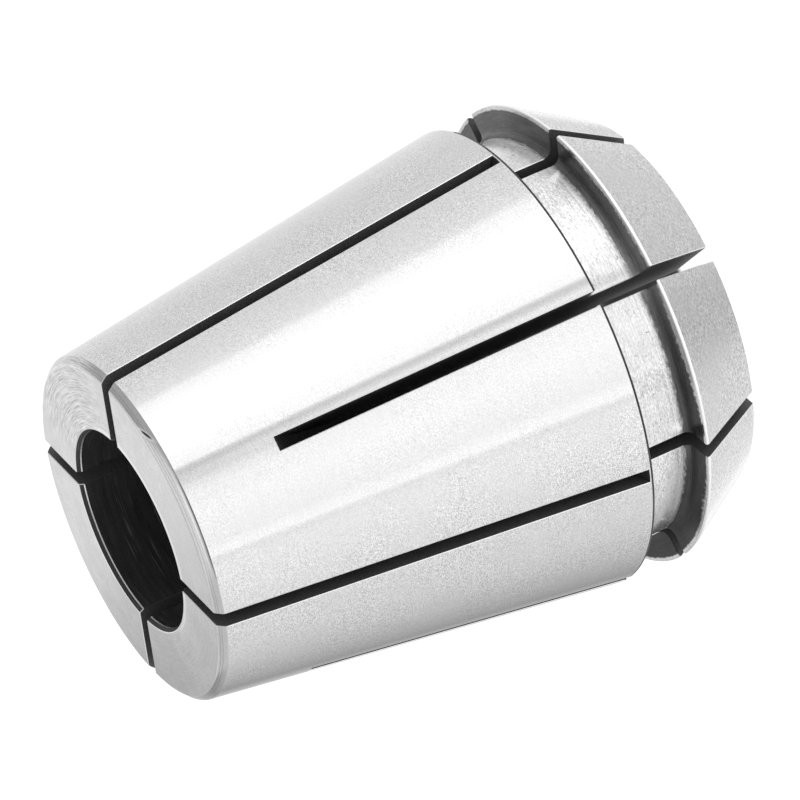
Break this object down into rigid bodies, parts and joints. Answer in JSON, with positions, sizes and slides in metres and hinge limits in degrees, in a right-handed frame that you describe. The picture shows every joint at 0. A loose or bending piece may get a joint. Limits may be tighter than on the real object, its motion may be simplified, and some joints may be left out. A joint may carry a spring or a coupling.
{
  "type": "spring collet",
  "caption": "Slotted spring collet that grips a round tool shank: a straight bore inside a long ground taper, an extraction groove and a coned collar.",
  "frame": {"origin": "centre of the large end's face, on the axis of the bore", "axes": "+Z along the axis from the large end to the small end, +X through the middle of a small-end slot"},
  "size_m": [0.033, 0.033, 0.04],
  "materials": {
    "spring_steel": "fine ground taper, satin turned faces"
  },
  "bodies": {
    "root": {"collet": "spring_steel"}
  },
  "joints": []
}
